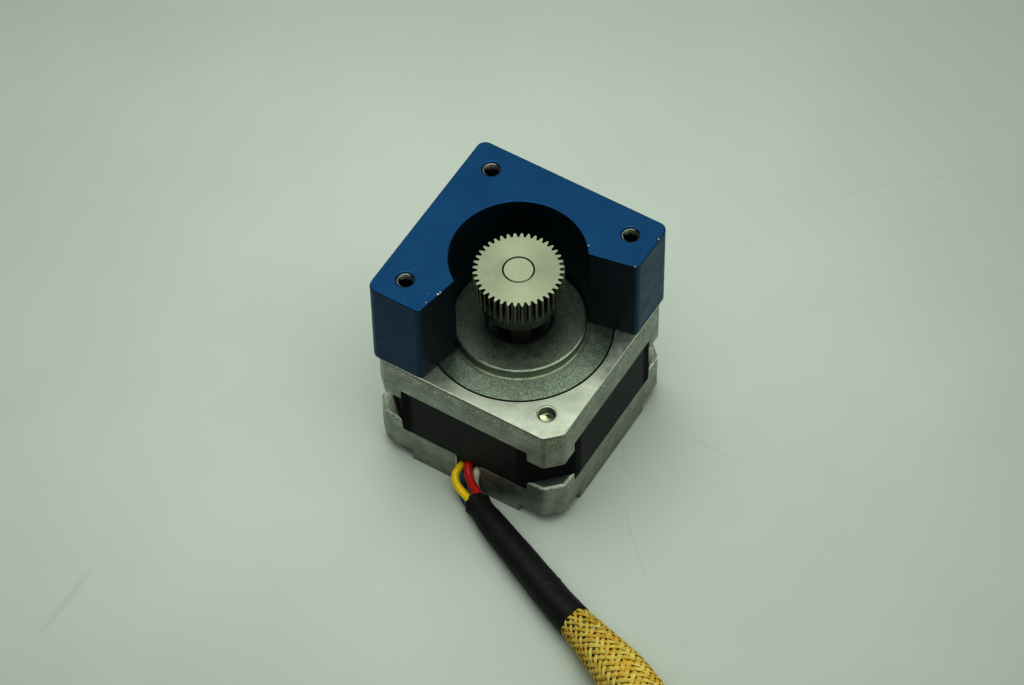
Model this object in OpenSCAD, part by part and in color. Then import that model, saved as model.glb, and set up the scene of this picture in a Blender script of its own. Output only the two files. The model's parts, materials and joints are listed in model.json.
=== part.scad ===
// Small two-phase stepper motor with a steel spur pinion on its shaft, an open
// anodised mounting block on its front face and a sleeved four-wire lead.
// The origin is the centre of the motor's rear face, +Z points out along the shaft, and
// the lead leaves through the -Y side. All lengths are in millimetres.

/* [Motor] */
// Width of the square motor frame
frame_w = 35.2; // [35:0.1:35.6]
// Distance between neighbouring corner screws
screw_pitch = 26; // [25.8:0.1:26.2]
// Height of the rear bell's skirt
rear_bell_h = 7.4; // [7.2:0.1:8]
// Height of the visible lamination stack
stack_h = 10.3; // [10:0.1:14]
// Height of the front bell's skirt
front_bell_h = 6.3; // [6.3:0.1:6.8]
// How far the corner lugs reach past the skirts
lug_h = 2.3; // [1.5:0.1:3]
// Diameter of the pilot on the front face
pilot_d = 22; // [21:0.1:22]
// Height of the pilot
pilot_h = 2; // [1.8:0.1:2.4]
// Diameter of the shaft
shaft_d = 5; // [5]

/* [Pinion] */
// Number of teeth
teeth = 40; // [36:1:40]
// Teeth per inch of pitch diameter
diametral_pitch = 72; // [72:1:80]
// Width of the toothed face
face_w = 4.6; // [3:0.1:6]
// Diameter of the hub under the teeth
hub_d = 12.4; // [9:0.1:12.6]
// Length of the hub
hub_h = 3.6; // [2:0.1:4]
// Clear height between the pilot and the hub
hub_gap = 4.4; // [2:0.1:6]

/* [Mounting block] */
// Width of the block
block_w = 35; // [34.6:0.1:35.2]
// Height of the block
block_h = 18; // [16:0.5:24]
// Diameter of the bore that sits round the pilot
block_bore_d = 22.2; // [22.2:0.1:23]
// How far each end face leans away from square
block_cut_angle = 12; // [0:1:20]
// Distance from the shaft to the end faces, where they meet the bore
block_cut_at = 6.3; // [4:0.1:8]
// Radius of the block's upright corners
block_corner_r = 1.5; // [0.5:0.1:2.5]

/* [Lead] */
// Outside diameter of each wire
wire_d = 1.4; // [1:0.1:1.4]
// Outside diameter of the braided sleeve
braid_d = 8.5; // [7:0.5:9]

/* [Hidden] */
$fn = 96;

// Nothing that only has to slide or press together is closer than this
fit = 0.01;
// Overlap that a cut runs past a face
past = 1;

// Levels along the shaft
stack_z = rear_bell_h;
front_z = stack_z + stack_h;
face_z = front_z + front_bell_h;
pilot_z = face_z + pilot_h;
hub_z = pilot_z + hub_gap;
teeth_z = hub_z + hub_h;
shaft_top = teeth_z + face_w;
shaft_bottom = 2.5;

// Bells
bell_chamfer = 2.6;
bell_plate = 2;
rear_plate = 3.2;
cavity_r = 15.3;
foot_relief = 1.9;
foot_from = 10.3;
recess_d = 10.6;
bearing_tube_r = 8.4;
rear_hole_d = 7;
face_groove_r = 15.4;
face_groove_w = 0.3;
face_groove_depth = 0.25;
lug_clearance = 0.05;
edge_break = 0.25;

// Screws: the open tapped holes are drawn at the tapping diameter
screw_at = screw_pitch / 2;
screw_d = 3;
tap_d = 2.5;
clear_d = 3.2;
screw_core_d = tap_d - 2 * fit;
screw_shank_d = screw_d - 0.1;
head_d = 5.5;
head_h = 1.5;
head_z = 1.2;
head_seat_z = head_z + head_h;
counterbore_d = 5.8;
countersink_d = 3.1;
countersink_h = 0.35;
drive_w = 0.8;
drive_len = 3;
drive_depth = 0.8;
block_thread_d = screw_d - 2 * fit;
tip_below_face = 0.5;
block_grip = 7;
tapped_from = 9;

// Bearings, 5 x 13 x 4
bearing_d = 13;
bearing_w = 4;
inner_race_r = 3.55;
outer_race_r = 5.45;
ball_r = 1;
ball_circle_r = 4.5;
ball_count = 8;
groove_r = ball_r + 0.04;
shield_t = 0.2;
cage_t = 0.6;
cage_h = 2.6;
ball_pocket_r = ball_r + 0.06;
washer_t = 0.5;
rear_seat_z = 2.2;
rear_bearing_z = rear_seat_z + washer_t + 0.1;
front_seat_z = pilot_z - 1.9;
front_bearing_z = front_seat_z - bearing_w;

// Stator and rotor, on a fifty-tooth pitch
poles = 8;
teeth_per_pole = 6;
tooth_pitch = 360 / 50;
tooth_angle = tooth_pitch / 2;
air_gap = 0.15;
rotor_r = 9;
rotor_tooth_depth = 0.45;
stator_r = rotor_r + air_gap;
shoe_r = 10.4;
shoe_angle = teeth_per_pole * tooth_pitch - tooth_angle;
slot_r = 15;
pole_w = 3.4;
stack_cut = 5.9;
cup_h = 4;
magnet_h = 1.7;
magnet_r = 8.2;
rotor_h = 2 * cup_h + magnet_h;
rotor_z = stack_z + (stack_h - rotor_h) / 2;

// Windings and the plastic frames that they sit on
saddle_t = 0.4;
saddle_w = 4;
lip_h = 2.3;
inner_lip = [10.45, 10.95];
inner_lip_w = 6;
outer_ring = [14.45, 14.95];
coil_from = 11;
coil_depth = 2.9;
coil_t = 1.5;
coil_gap_w = saddle_w + 0.1;
coil_corner_r = 1.2;
coil_z = (stack_z + front_z) / 2;
coil_gap_h = stack_h + 2 * saddle_t;

// Pinion
module_mm = 25.4 / diametral_pitch;
pressure_angle = 20;
pinion_pitch_r = teeth * module_mm / 2;
pinion_base_r = pinion_pitch_r * cos(pressure_angle);
pinion_tip_r = pinion_pitch_r + module_mm;
pinion_root_r = pinion_pitch_r - 1.2 * module_mm;
flank_steps = 4;
hub_chamfer = 0.3;

// Lead exit in the rear bell's -Y wall
notch_x = [-1.7, 3];
notch_z = 3.1;
grommet_y = [-16.9, -15.5];
grommet_gap = 0.05;

// Where each wire passes through the grommet, and the rest of its way to the heat shrink
yellow_hole = [-0.9, 4.4];
red_hole = [0.7, 6.1];
white_hole = [2.15, 5.1];
blue_hole = [0.6, 4.1];
yellow_route = [
    [-0.9, -19.1, 4], [-0.1, -20.1, 3.4], [1.3, -20.7, 2.9], [2.6, -21.2, 2.8], [3.9, -21.8, 2.8]
];
red_route = [[1.3, -18.6, 5.7], [2.2, -19.4, 4.8], [3.4, -19.8, 3.8], [4.5, -20.3, 2.9]];
white_route = [[2.2, -17.9, 4.2], [2.4, -18.5, 3.1], [3, -18.9, 2.1], [4, -19.4, 1.4], [5.2, -20, 1.1]];
blue_route = [[0.6, -18.4, 3.7], [0.5, -19.1, 2], [0.9, -19.9, 1.1], [2.1, -20.9, 1], [3.9, -21.7, 1.2]];

// The heat shrink: centre points and the radius at each
shrink_route = [
    [4.3, -21, 2.1], [6.5, -22.2, 2.3], [11, -24.4, 2.5], [16, -26.7, 2.7], [21, -29, 2.8],
    [26, -31.3, 2.9], [30, -32.9, 3]
];
shrink_radii = [2, 2.2, 2.4, 2.6, 2.7, 2.8, 2.9];

// The braided sleeve: one loose loop beside the motor
braid_route = [
    [30, -32.9, 3], [34, -34.6, 3.4], [38, -36.4, 3.9], [42.5, -38.4, 4.2], [50.5, -42, 4.3],
    [59, -45.8, 4.3], [70, -53.3, 4.3], [78, -63.8, 4.3], [82.5, -76.8, 4.3], [82, -90.3, 4.3],
    [76.5, -103.8, 4.3], [67, -113.8, 4.3], [54.5, -120.8, 4.3], [41, -122.3, 4.3], [28.5, -119.8, 4.3],
    [18, -113.3, 4.3], [11, -104.8, 4.3], [8, -93.8, 4.3], [10, -82.3, 4.3], [16.5, -72.3, 4.3],
    [26, -66.3, 4.3], [36.5, -64.3, 4.3]
];
braid_radii = [for (i = [0:len(braid_route) - 1]) min(braid_d / 2, 2.9 + 0.45 * i)];

// The far end: heat shrink, four short wires and a four-way crimp plug
end_route = [[36.5, -64.3, 4.3], [40.5, -64.2, 3.6], [44.5, -64.2, 2.6]];
end_radii = [braid_d / 2, 3.4, 2.2];
plug_at = [53.5, -64.2, 1.6];
plug_size = [14, 10.4, 3];
plug_pitch = 2.54;
contact_hole = 1.6;
contact_size = [8, 1.5, 1.5];
contact_bore = 0.7;
bundle_offset = 0.9;

// ---- Shared shapes ----

function arc_points(r, from, to, steps, centre = [0, 0]) =
    [
        for (i = [0:steps])
            let (a = from + (to - from) * i / steps)
            centre + r * [cos(a), sin(a)]
    ];

module at_corners(list) {
    for (c = list)
        translate([c[0] * screw_at, c[1] * screw_at, 0])
            children();
}

all_corners = [[1, 1], [-1, 1], [-1, -1], [1, -1]];
block_corners = [[1, 1], [-1, 1], [-1, -1]];
open_corner = [[1, -1]];

module cut_square(w, cut) {
    h = w / 2;
    polygon([
        [h, h - cut], [h - cut, h], [cut - h, h], [-h, h - cut],
        [-h, cut - h], [cut - h, -h], [h - cut, -h], [h, cut - h]
    ]);
}

module ring(r_in, r_out, h) {
    difference() {
        cylinder(r = r_out, h = h);
        translate([0, 0, -past])
            cylinder(r = r_in, h = h + 2 * past);
    }
}

module round_rect(w, h, r) {
    square([w - 2 * r, h], center = true);
    square([w, h - 2 * r], center = true);
    for (x = [-1, 1], y = [-1, 1])
        translate([x * (w / 2 - r), y * (h / 2 - r)])
            circle(r = r);
}

// Unit vector along a route at point i
function heading(route, i) =
    let (d = route[min(i + 1, len(route) - 1)] - route[max(i - 1, 0)])
    d / norm(d);

// One ring of a tube: sides points round route[i], square to the route
function tube_ring(route, radii, sides, i) =
    let (
        t = heading(route, i),
        side = cross([0, 0, 1], t) / norm(cross([0, 0, 1], t)),
        up = cross(t, side)
    )
    [
        for (s = [0:sides - 1])
            let (a = 360 * s / sides)
            route[i] + radii[i] * (cos(a) * side + sin(a) * up)
    ];

module tube(route, radii, sides) {
    rings = len(route);
    points = [for (i = [0:rings - 1]) each tube_ring(route, radii, sides, i)];
    walls = [
        for (i = [0:rings - 2], s = [0:sides - 1])
            let (a = i * sides + s, b = i * sides + (s + 1) % sides)
            each [[a, b, b + sides], [a, b + sides, a + sides]]
    ];
    first_cap = [for (s = [0:sides - 1]) sides - 1 - s];
    last_cap = [for (s = [0:sides - 1]) (rings - 1) * sides + s];
    polyhedron(points = points, faces = concat([first_cap], walls, [last_cap]));
}

// ---- Motor housing ----

// The corners of a bell outside the cut corners of the lamination stack
module corner_lugs() {
    difference() {
        cut_square(frame_w, bell_chamfer);
        rotate(45)
            square((frame_w - stack_cut) * sqrt(2) + 2 * lug_clearance, center = true);
    }
}

module bell_body(h) {
    linear_extrude(h)
        cut_square(frame_w, bell_chamfer);
}

module front_bell() {
    color("silver") difference() {
        union() {
            translate([0, 0, front_z])
                bell_body(front_bell_h);
            translate([0, 0, front_z - lug_h])
                linear_extrude(lug_h + past)
                    corner_lugs();
            translate([0, 0, face_z - past])
                cylinder(d = pilot_d, h = pilot_h + past - edge_break);
            translate([0, 0, pilot_z - edge_break])
                cylinder(d1 = pilot_d, d2 = pilot_d - 2 * edge_break, h = edge_break);
        }
        difference() {
            translate([0, 0, front_z - past])
                cylinder(r = cavity_r, h = front_bell_h - bell_plate + past);
            translate([0, 0, front_bearing_z - 0.9])
                cylinder(r = bearing_tube_r, h = front_bell_h);
        }
        translate([0, 0, front_z - past])
            cylinder(r = bearing_d / 2 + fit, h = front_seat_z - front_z + past);
        translate([0, 0, front_z])
            cylinder(d = recess_d, h = pilot_z);
        translate([0, 0, pilot_z - edge_break])
            cylinder(d1 = recess_d, d2 = recess_d + 2 * edge_break + 0.02, h = edge_break + 0.01);
        translate([0, 0, face_z - face_groove_depth])
            ring(face_groove_r - face_groove_w / 2, face_groove_r + face_groove_w / 2, pilot_h);
        at_corners(block_corners)
            cylinder(d = clear_d, h = face_z + past);
        at_corners(open_corner) {
            cylinder(d = tap_d, h = face_z + past);
            translate([0, 0, face_z - countersink_h])
                cylinder(d1 = tap_d, d2 = countersink_d + 0.04, h = countersink_h + 0.02);
        }
    }
}

module rear_bell() {
    foot = frame_w / 2 - foot_from + past;
    color("silver") difference() {
        union() {
            bell_body(rear_bell_h);
            translate([0, 0, rear_bell_h - past])
                linear_extrude(lug_h + past)
                    corner_lugs();
        }
        difference() {
            translate([0, 0, rear_plate])
                cylinder(r = cavity_r, h = rear_bell_h);
            cylinder(r = bearing_tube_r, h = rear_bearing_z + bearing_w - 0.4);
        }
        translate([0, 0, rear_seat_z])
            cylinder(r = bearing_d / 2 + fit, h = rear_bell_h);
        translate([0, 0, -past])
            cylinder(d = rear_hole_d, h = rear_bell_h);
        for (c = all_corners)
            translate([c[0] * (foot_from + foot / 2), c[1] * (foot_from + foot / 2), 0])
                cube([foot, foot, 2 * foot_relief], center = true);
        at_corners(all_corners) {
            translate([0, 0, -past])
                cylinder(d = clear_d, h = rear_bell_h + lug_h + 2 * past);
            translate([0, 0, -past])
                cylinder(d = counterbore_d, h = head_seat_z + past);
        }
        translate([notch_x[0], -frame_w / 2 - past, notch_z])
            cube([notch_x[1] - notch_x[0], frame_w / 2 - cavity_r + 2 * past, rear_bell_h]);
    }
}

// ---- Stator ----

// Gaps between the small teeth on one pole shoe
module tooth_gaps() {
    for (i = [0:teeth_per_pole - 2])
        rotate((i - teeth_per_pole / 2 + 1) * tooth_pitch)
            translate([stator_r + 0.1, 0])
                square([0.8, 2 * stator_r * sin(tooth_angle / 2)], center = true);
}

// The winding space between two poles, drawn about the X axis
module slot() {
    half = 180 / poles;
    mouth = half - shoe_angle / 2;
    lip = half - shoe_angle / 2 * 0.92;
    neck = half - asin(pole_w / 2 / shoe_r);
    back = half - asin(pole_w / 2 / slot_r);
    polygon(concat(
        arc_points(shoe_r, lip, neck, 4),
        arc_points(slot_r, back, -back, 12),
        arc_points(shoe_r, -neck, -lip, 4),
        [for (a = [-mouth, mouth]) (stator_r - 0.2) * [cos(a), sin(a)]]
    ));
}

module stator_stack() {
    color("#26282a") translate([0, 0, stack_z]) difference() {
        linear_extrude(stack_h)
            cut_square(frame_w, stack_cut);
        translate([0, 0, -past])
            linear_extrude(stack_h + 2 * past) {
                circle(r = stator_r);
                for (i = [0:poles - 1])
                    rotate((i + 0.5) * 360 / poles)
                        slot();
                for (i = [0:poles - 1])
                    rotate(i * 360 / poles)
                        tooth_gaps();
            }
        at_corners(all_corners)
            translate([0, 0, -past])
                cylinder(d = clear_d, h = stack_h + 2 * past);
    }
}

// One end of the winding frame, drawn with its seat on z = 0 and its lips upward
module insulator() {
    ring(outer_ring[0], outer_ring[1], lip_h);
    for (i = [0:poles - 1])
        rotate(i * 360 / poles) {
            translate([inner_lip[0], -saddle_w / 2, 0])
                cube([(outer_ring[0] + outer_ring[1]) / 2 - inner_lip[0], saddle_w, saddle_t]);
            translate([inner_lip[0], -inner_lip_w / 2, 0])
                cube([inner_lip[1] - inner_lip[0], inner_lip_w, lip_h]);
        }
}

module front_insulator() {
    color("ivory") translate([0, 0, front_z])
        insulator();
}

module rear_insulator() {
    color("ivory") translate([0, 0, stack_z])
        mirror([0, 0, 1])
            insulator();
}

module coil() {
    translate([coil_from, 0, coil_z]) rotate([90, 0, 90]) linear_extrude(coil_depth) difference() {
        round_rect(coil_gap_w + 2 * coil_t, coil_gap_h + 2 * coil_t, coil_corner_r);
        square([coil_gap_w, coil_gap_h + 2 * fit], center = true);
    }
}

module coils(first) {
    for (i = [first:2:poles - 1])
        rotate(i * 360 / poles)
            coil();
}

module phase_a_coils() {
    color("#b4622a") coils(0);
}

module phase_b_coils() {
    color("#b4622a") coils(1);
}

// ---- Rotor ----

module shaft() {
    chamfer = 0.15;
    color("lightgray") translate([0, 0, shaft_bottom]) rotate_extrude() polygon([
        [0, 0], [shaft_d / 2 - chamfer, 0], [shaft_d / 2, chamfer],
        [shaft_d / 2, shaft_top - shaft_bottom - chamfer],
        [shaft_d / 2 - chamfer, shaft_top - shaft_bottom], [0, shaft_top - shaft_bottom]
    ]);
}

module rotor_cup() {
    count = 360 / tooth_pitch;
    root_r = rotor_r - rotor_tooth_depth;
    linear_extrude(cup_h) difference() {
        polygon([
            for (i = [0:count - 1])
                let (a = i * tooth_pitch)
                each [
                    root_r * [cos(a - tooth_angle / 2), sin(a - tooth_angle / 2)],
                    rotor_r * [cos(a - tooth_angle / 2), sin(a - tooth_angle / 2)],
                    rotor_r * [cos(a + tooth_angle / 2), sin(a + tooth_angle / 2)],
                    root_r * [cos(a + tooth_angle / 2), sin(a + tooth_angle / 2)]
                ]
        ]);
        circle(r = shaft_d / 2 + fit);
    }
}

module rotor_cup_rear() {
    color("dimgray") translate([0, 0, rotor_z])
        rotor_cup();
}

// Half a tooth round from the rear cup
module rotor_cup_front() {
    color("dimgray") translate([0, 0, rotor_z + cup_h + magnet_h])
        rotate(tooth_pitch / 2)
            rotor_cup();
}

module rotor_magnet() {
    color("gray") translate([0, 0, rotor_z + cup_h])
        ring(shaft_d / 2 + fit, magnet_r, magnet_h);
}

module rear_spacer() {
    from = rear_bearing_z + bearing_w;
    color("lightgray") translate([0, 0, from])
        ring(shaft_d / 2 + fit, inner_race_r, rotor_z - from);
}

module front_spacer() {
    from = rotor_z + rotor_h;
    color("lightgray") translate([0, 0, from])
        ring(shaft_d / 2 + fit, inner_race_r, front_bearing_z - from);
}

// ---- Bearings, each drawn from z = 0 ----

module race(r_in, r_out) {
    rotate_extrude() difference() {
        translate([r_in, 0])
            square([r_out - r_in, bearing_w]);
        translate([ball_circle_r, bearing_w / 2])
            circle(r = groove_r);
    }
}

module balls() {
    for (i = [0:ball_count - 1])
        rotate(i * 360 / ball_count)
            translate([ball_circle_r, 0, bearing_w / 2])
                sphere(r = ball_r);
}

module cage() {
    difference() {
        translate([0, 0, (bearing_w - cage_h) / 2])
            ring(ball_circle_r - cage_t / 2, ball_circle_r + cage_t / 2, cage_h);
        for (i = [0:ball_count - 1])
            rotate(i * 360 / ball_count)
                translate([ball_circle_r - past, 0, bearing_w / 2])
                    rotate([0, 90, 0])
                        cylinder(r = ball_pocket_r, h = 2 * past);
    }
}

module shields() {
    for (z = [0, bearing_w - shield_t])
        translate([0, 0, z])
            ring(inner_race_r + 0.1, outer_race_r - fit, shield_t);
}

module front_bearing_outer_race() {
    color("lightgray") translate([0, 0, front_bearing_z])
        race(outer_race_r, bearing_d / 2);
}

module front_bearing_inner_race() {
    color("lightgray") translate([0, 0, front_bearing_z])
        race(shaft_d / 2 + fit, inner_race_r);
}

module front_bearing_balls() {
    color("white") translate([0, 0, front_bearing_z])
        balls();
}

module front_bearing_cage() {
    color("goldenrod") translate([0, 0, front_bearing_z])
        cage();
}

module front_bearing_shields() {
    color("darkgray") translate([0, 0, front_bearing_z])
        shields();
}

module rear_bearing_outer_race() {
    color("lightgray") translate([0, 0, rear_bearing_z])
        race(outer_race_r, bearing_d / 2);
}

module rear_bearing_inner_race() {
    color("lightgray") translate([0, 0, rear_bearing_z])
        race(shaft_d / 2 + fit, inner_race_r);
}

module rear_bearing_balls() {
    color("white") translate([0, 0, rear_bearing_z])
        balls();
}

module rear_bearing_cage() {
    color("goldenrod") translate([0, 0, rear_bearing_z])
        cage();
}

module rear_bearing_shields() {
    color("darkgray") translate([0, 0, rear_bearing_z])
        shields();
}

module wave_washer() {
    color("gray") translate([0, 0, rear_seat_z])
        ring(bearing_d / 2 - 1.5, bearing_d / 2 - 0.1, washer_t);
}

// ---- Screws ----

// A pan-head screw from the rear: plain shank up to thread_z, then a thread of diameter d up to top
module long_screw(thread_z, top, d) {
    translate([0, 0, head_z]) difference() {
        cylinder(d = head_d, h = head_h);
        for (a = [0, 90])
            rotate(a)
                translate([-drive_len / 2, -drive_w / 2, -past])
                    cube([drive_len, drive_w, drive_depth + past]);
    }
    translate([0, 0, head_seat_z - fit])
        cylinder(d = screw_shank_d, h = thread_z - head_seat_z - 0.1);
    translate([0, 0, thread_z - 0.2])
        cylinder(d = d, h = top - thread_z);
    translate([0, 0, top - 0.2])
        cylinder(d1 = d, d2 = d - 0.6, h = 0.2);
}

// Three of the screws run on into the block
module block_screws() {
    color("gray") at_corners(block_corners)
        long_screw(face_z, face_z + block_grip, block_thread_d);
}

module corner_screw() {
    color("gray") at_corners(open_corner)
        long_screw(front_z - lug_h, face_z - tip_below_face, screw_core_d);
}

// ---- Mounting block ----

// Corner i of an outline as an arc of radius r
function rounded_corner(points, i, r) =
    let (
        n = len(points),
        p = points[i],
        u = (points[(i + n - 1) % n] - p) / norm(points[(i + n - 1) % n] - p),
        v = (points[(i + 1) % n] - p) / norm(points[(i + 1) % n] - p),
        half = acos(u * v) / 2,
        centre = p + (u + v) / norm(u + v) * r / sin(half),
        from = atan2((p + u * r / tan(half) - centre)[1], (p + u * r / tan(half) - centre)[0])
    )
    arc_points(r, from, from + 180 - 2 * half, 6, centre);

// Square on three corners; the fourth is cut away as far as the bore
module block_outline() {
    h = block_w / 2;
    bore_x = sqrt(pow(block_bore_d / 2, 2) - pow(block_cut_at, 2));
    end_at = block_cut_at + (h - bore_x) * tan(block_cut_angle);
    corners = [[h, end_at], [h, h], [-h, h], [-h, -h], [-end_at, -h]];
    apex = (block_cut_at - bore_x * tan(block_cut_angle)) / (1 + tan(block_cut_angle));
    polygon(concat(
        [for (i = [0:4]) each rounded_corner(corners, i, block_corner_r)],
        [[-apex, apex]]
    ));
}

module mounting_block() {
    color("#1c4f86") translate([0, 0, face_z]) difference() {
        linear_extrude(block_h)
            block_outline();
        translate([0, 0, -past])
            cylinder(d = block_bore_d, h = block_h + 2 * past);
        at_corners(block_corners) {
            translate([0, 0, -past])
                cylinder(d = screw_d, h = tapped_from + past);
            cylinder(d = tap_d, h = block_h + past);
            translate([0, 0, block_h - countersink_h])
                cylinder(d1 = tap_d, d2 = countersink_d + 0.04, h = countersink_h + 0.02);
        }
    }
}

// ---- Pinion ----

// Half the angle that a tooth covers at radius r
function half_tooth(r) =
    let (a = acos(min(1, pinion_base_r / r)))
    90 / teeth + (tan(pressure_angle) - tan(a)) * 180 / PI - pressure_angle + a;

function flank_r(i) =
    let (from = max(pinion_base_r, pinion_root_r))
    from + (pinion_tip_r - from) * i / flank_steps;

function tooth_points(at) = [
    pinion_root_r * [cos(at - half_tooth(flank_r(0))), sin(at - half_tooth(flank_r(0)))],
    for (i = [0:flank_steps])
        flank_r(i) * [cos(at - half_tooth(flank_r(i))), sin(at - half_tooth(flank_r(i)))],
    for (i = [flank_steps:-1:0])
        flank_r(i) * [cos(at + half_tooth(flank_r(i))), sin(at + half_tooth(flank_r(i)))],
    pinion_root_r * [cos(at + half_tooth(flank_r(0))), sin(at + half_tooth(flank_r(0)))]
];

module pinion() {
    color("lightgray") difference() {
        union() {
            translate([0, 0, teeth_z])
                linear_extrude(face_w)
                    polygon([for (i = [0:teeth - 1]) each tooth_points(i * 360 / teeth)]);
            translate([0, 0, hub_z + hub_chamfer])
                cylinder(d = hub_d, h = hub_h - hub_chamfer + 0.1);
            translate([0, 0, hub_z])
                cylinder(d1 = hub_d - 2 * hub_chamfer, d2 = hub_d, h = hub_chamfer);
        }
        translate([0, 0, hub_z - past])
            cylinder(r = shaft_d / 2 + fit, h = face_w + hub_h + 2 * past);
    }
}

// ---- Lead ----

module lead_grommet() {
    color("#1a1a1a") difference() {
        translate([notch_x[0] + grommet_gap, grommet_y[0], notch_z + grommet_gap])
            cube([
                notch_x[1] - notch_x[0] - 2 * grommet_gap,
                grommet_y[1] - grommet_y[0],
                rear_bell_h - notch_z - 2 * grommet_gap
            ]);
        for (hole = [yellow_hole, red_hole, white_hole, blue_hole])
            translate([hole[0], grommet_y[1] + past, hole[1]])
                rotate([90, 0, 0])
                    cylinder(d = wire_d + 0.04, h = 4);
    }
}

module wire(hole, route) {
    straight = [[hole[0], grommet_y[1], hole[1]], [hole[0], grommet_y[0] - 0.4, hole[1]]];
    points = concat(straight, route);
    tube(points, [for (p = points) wire_d / 2], 8);
}

module wire_yellow() {
    color("gold") wire(yellow_hole, yellow_route);
}

module wire_red() {
    color("crimson") wire(red_hole, red_route);
}

module wire_white() {
    color("whitesmoke") wire(white_hole, white_route);
}

module wire_blue() {
    color("steelblue") wire(blue_hole, blue_route);
}

module heat_shrink() {
    color("#1c1c1e") tube(shrink_route, shrink_radii, 12);
}

module braided_sleeve() {
    color("khaki") tube(braid_route, braid_radii, 12);
}

module end_sleeve() {
    color("#1c1c1e") tube(end_route, end_radii, 12);
}

// Four wires that fan out from a bundle into the plug's row
module plug_wires() {
    from = end_route[len(end_route) - 1];
    color("crimson") for (i = [0:3]) {
        row_y = plug_at[1] + (i - 1.5) * plug_pitch;
        start = from + bundle_offset * [0, i < 2 ? -1 : 1, i % 2 == 0 ? -1 : 1];
        fan = [
            start, start + [1.5, 0, 0],
            [plug_at[0] - 2, row_y, plug_at[2]], [plug_at[0] + 1, row_y, plug_at[2]]
        ];
        tube(fan, [for (p = fan) wire_d / 2], 8);
    }
}

module plug_housing() {
    color("#202022") difference() {
        translate([plug_at[0], plug_at[1] - plug_size[1] / 2, plug_at[2] - plug_size[2] / 2])
            cube(plug_size);
        for (i = [0:3])
            translate([plug_at[0] - past, plug_at[1] + (i - 1.5) * plug_pitch, plug_at[2]])
                translate([0, -contact_hole / 2, -contact_hole / 2])
                    cube([plug_size[0] + 2 * past, contact_hole, contact_hole]);
    }
}

module plug_contacts() {
    color("gold") for (i = [0:3])
        translate([plug_at[0] + 3, plug_at[1] + (i - 1.5) * plug_pitch, plug_at[2]]) difference() {
            translate([0, -contact_size[1] / 2, -contact_size[2] / 2])
                cube(contact_size);
            translate([-past, -contact_bore / 2, -contact_bore / 2])
                cube([contact_size[0] + 2 * past, contact_bore, contact_bore]);
        }
}

front_bell();
rear_bell();
stator_stack();
front_insulator();
rear_insulator();
phase_a_coils();
phase_b_coils();
shaft();
rotor_cup_front();
rotor_cup_rear();
rotor_magnet();
front_spacer();
rear_spacer();
front_bearing_outer_race();
front_bearing_inner_race();
front_bearing_balls();
front_bearing_cage();
front_bearing_shields();
rear_bearing_outer_race();
rear_bearing_inner_race();
rear_bearing_balls();
rear_bearing_cage();
rear_bearing_shields();
wave_washer();
block_screws();
corner_screw();
mounting_block();
pinion();
lead_grommet();
wire_yellow();
wire_red();
wire_white();
wire_blue();
heat_shrink();
braided_sleeve();
end_sleeve();
plug_wires();
plug_housing();
plug_contacts();
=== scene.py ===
"""Small stepper motor with a pinion, an open blue block and a sleeved lead, on a pale table.

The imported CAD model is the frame.
"""

import json
import math

import bmesh
import bpy
import numpy as np
from mathutils import Matrix, Vector


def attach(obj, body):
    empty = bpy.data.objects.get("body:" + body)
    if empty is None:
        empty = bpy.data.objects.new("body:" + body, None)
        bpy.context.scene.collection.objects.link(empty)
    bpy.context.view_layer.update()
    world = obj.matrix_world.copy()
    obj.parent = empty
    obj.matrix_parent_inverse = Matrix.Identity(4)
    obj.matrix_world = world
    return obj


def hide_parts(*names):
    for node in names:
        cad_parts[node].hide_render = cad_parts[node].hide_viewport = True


MM = 0.001
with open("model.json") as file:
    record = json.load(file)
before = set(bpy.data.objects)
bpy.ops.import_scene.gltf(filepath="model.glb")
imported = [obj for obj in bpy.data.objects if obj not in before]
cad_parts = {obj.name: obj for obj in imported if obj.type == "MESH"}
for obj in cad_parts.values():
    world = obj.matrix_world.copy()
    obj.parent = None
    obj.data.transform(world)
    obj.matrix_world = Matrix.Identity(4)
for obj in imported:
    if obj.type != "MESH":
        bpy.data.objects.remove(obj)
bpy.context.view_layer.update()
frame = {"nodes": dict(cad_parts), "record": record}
rng = np.random.default_rng(7)


# ---- Levels and places of the CAD, which rounded edges, finishes and marks go by ----


def box_of(node):
    """The lowest and the highest corner of a CAD node's box."""
    points = np.array([v.co for v in frame["nodes"][node].data.vertices]) / MM
    return points.min(axis=0).round(3).tolist(), points.max(axis=0).round(3).tolist()


def heights_of(node):
    """How high a CAD node starts and ends."""
    low, high = box_of(node)
    return low[2], high[2]


REAR_BOTTOM, REAR_LUG_END = heights_of("rear_bell")
REAR_RIM_END, FRONT_RIM_END = heights_of("stator_stack")
FRONT_LUG_END, PILOT_TOP = heights_of("front_bell")
FACE, BLOCK_TOP = heights_of("mounting_block")
HUB_END, SHAFT_END = heights_of("pinion")
TEETH_END = HUB_END + 3.6
FOOT_RELIEF = REAR_BOTTOM + 1.9
TAPPED_FROM = BLOCK_TOP - 9
PILOT_R = 11
RECESS_R = 5.3
GROOVE_R = 15.4
HOLE_AT = 13
TAPPED = [(-HOLE_AT, -HOLE_AT), (-HOLE_AT, HOLE_AT), (HOLE_AT, HOLE_AT)]


# ---- Camera ----

# Where the camera looks from, and how it is rolled, in degrees
AZIMUTH, ELEVATION, ROLL = 32.235, 53.832, -1.094
TARGET_M = (0.00322, -0.00747, 0.02995)
AWAY_M = 0.65042
LENS = 143.06
SENSOR = 36


def direction(azimuth, elevation):
    """The unit vector out to a place in the sky. Azimuth 0 is towards -y and 90 towards +x."""
    a, e = math.radians(azimuth), math.radians(elevation)
    return Vector((math.sin(a) * math.cos(e), -math.cos(a) * math.cos(e), math.sin(e)))


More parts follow.
